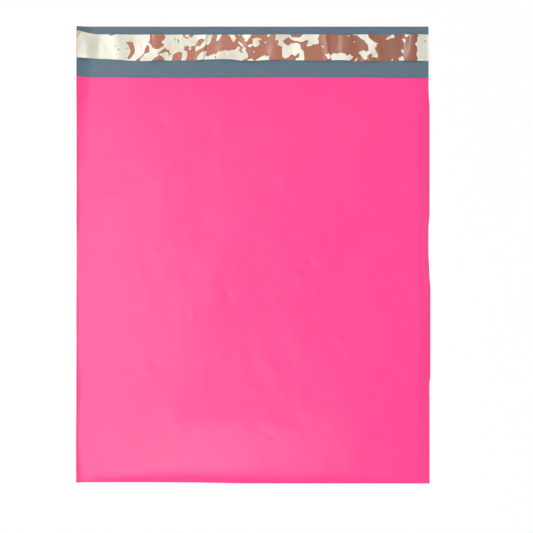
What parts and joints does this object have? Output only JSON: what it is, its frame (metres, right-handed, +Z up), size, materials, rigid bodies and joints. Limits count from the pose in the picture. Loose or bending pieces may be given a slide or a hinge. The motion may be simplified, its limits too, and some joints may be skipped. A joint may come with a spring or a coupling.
{
  "type": "poly mailer bag",
  "caption": "Flat plastic-film mailing bag with welded sides, an open pouch and a closing flap that carries adhesive under a peel-off liner.",
  "frame": {"origin": "middle of the bag's outline with its flap open, on the surface that the bag lies on", "axes": "+X across the bag, +Y along it towards the flap's free edge, +Z up out of the front panel"},
  "size_m": [0.254, 0.3284, 0.0062],
  "materials": {
    "film": "satin hot pink polyethylene outside, slate grey inside",
    "adhesive": "tacky translucent amber hot-melt",
    "liner": "glossy cream release film with brown printed patches"
  },
  "bodies": {
    "root": {"bag_film": "film", "adhesive_strip": "adhesive", "release_liner": "liner"}
  },
  "joints": []
}
